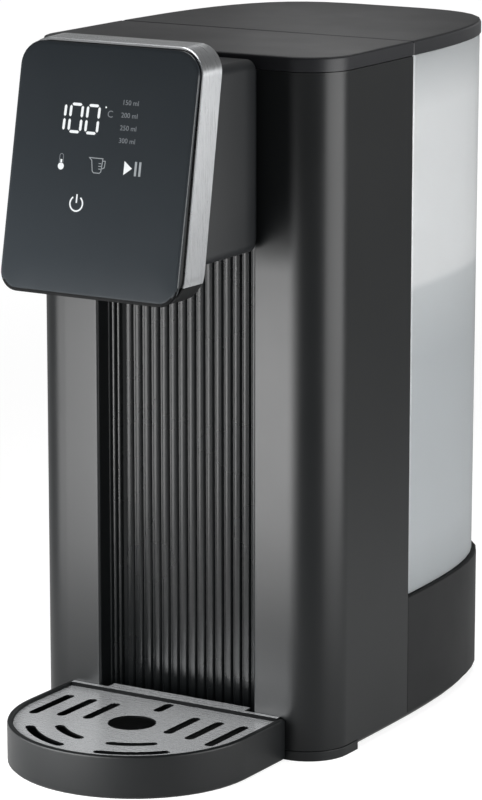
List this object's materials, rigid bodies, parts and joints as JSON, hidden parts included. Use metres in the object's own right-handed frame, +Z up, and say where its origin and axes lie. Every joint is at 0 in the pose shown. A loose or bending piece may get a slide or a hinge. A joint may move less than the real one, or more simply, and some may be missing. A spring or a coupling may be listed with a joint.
{
  "type": "instant hot water dispenser",
  "caption": "Tall countertop instant hot water dispenser: tilted touch head over a ribbed bay, D-shaped drip tray with slotted grille, and a lift-off frosted rear tank.",
  "frame": {"origin": "on the floor, under the middle of the whole machine's bounding box", "axes": "+Z up, the control head and the drip tray face -Y, the tank is at +Y, +X is the machine's left as it faces you"},
  "size_m": [0.158, 0.2922, 0.3281],
  "materials": {
    "satin_black": "satin moulded plastic",
    "dark_base": "fine matt moulded plastic",
    "gloss_black": "smooth gloss plastic",
    "brushed_silver": "brushed anodised aluminium",
    "brushed_steel": "brushed stainless steel",
    "frosted_clear": "frosted clear plastic",
    "rubber": "black rubber",
    "silicone": "milky silicone",
    "white_plastic": "white moulded plastic",
    "cast_aluminium": "as-cast aluminium",
    "zinc_steel": "zinc plated steel",
    "circuit_board": "green lacquered board",
    "display": "dark lamp block"
  },
  "bodies": {
    "root": {"body_shell": "satin_black", "rib_panel": "satin_black", "top_cover": "satin_black", "head_housing": "satin_black", "front_skirt": "dark_base", "base_plate": "dark_base", "divider_wall": "dark_base", "rear_base": "dark_base", "panel_carrier": "gloss_black", "control_panel": "gloss_black", "spout_nozzle": "gloss_black", "head_frame": "brushed_silver", "foot_front_left": "rubber", "foot_front_right": "rubber", "foot_rear_left": "rubber", "foot_rear_right": "rubber", "cord_gland": "rubber", "pump_cradle_inner": "rubber", "pump_cradle_outer": "rubber", "dock_seal": "silicone", "spout_seal": "silicone", "inlet_hose": "silicone", "pump_hose": "silicone", "outlet_hose": "silicone", "dock_socket": "white_plastic", "water_pump": "white_plastic", "water_heater": "cast_aluminium", "base_screw_1": "zinc_steel", "base_screw_2": "zinc_steel", "base_screw_3": "zinc_steel", "base_screw_4": "zinc_steel", "heater_bracket": "zinc_steel", "thermal_cutout": "zinc_steel", "water_sensor": "zinc_steel", "display_board": "circuit_board", "power_board": "circuit_board", "led_display": "display"},
    "tank": {"water_tank": "frosted_clear", "valve_body": "white_plastic", "valve_spring": "zinc_steel", "tank_strainer": "white_plastic"},
    "plunger": {"valve_plunger": "white_plastic"},
    "lid": {"tank_lid": "dark_base"},
    "tray": {"drip_tray": "dark_base"},
    "grille": {"drip_grille": "brushed_steel"}
  },
  "joints": [
    {"name": "tank_lift", "type": "slide", "parent": "root", "child": "tank", "axis": [0, 0, 1], "range_m": [0, 0.06]},
    {"name": "valve_travel", "type": "slide", "parent": "tank", "child": "plunger", "axis": [0, 0, 1], "range_m": [-0.004, 0], "deforming": ["valve_spring"]},
    {"name": "lid_lift", "type": "slide", "parent": "tank", "child": "lid", "axis": [0, 0, 1], "range_m": [0, 0.05]},
    {"name": "tray_slide", "type": "slide", "parent": "root", "child": "tray", "axis": [0, -1, 0], "range_m": [0, 0.1]},
    {"name": "grille_lift", "type": "slide", "parent": "tray", "child": "grille", "axis": [0, 0, 1], "range_m": [0, 0.03]}
  ],
  "couplings": [
    {"joint": "valve_travel", "follows": "tank_lift", "ratio": -0.0666}
  ]
}
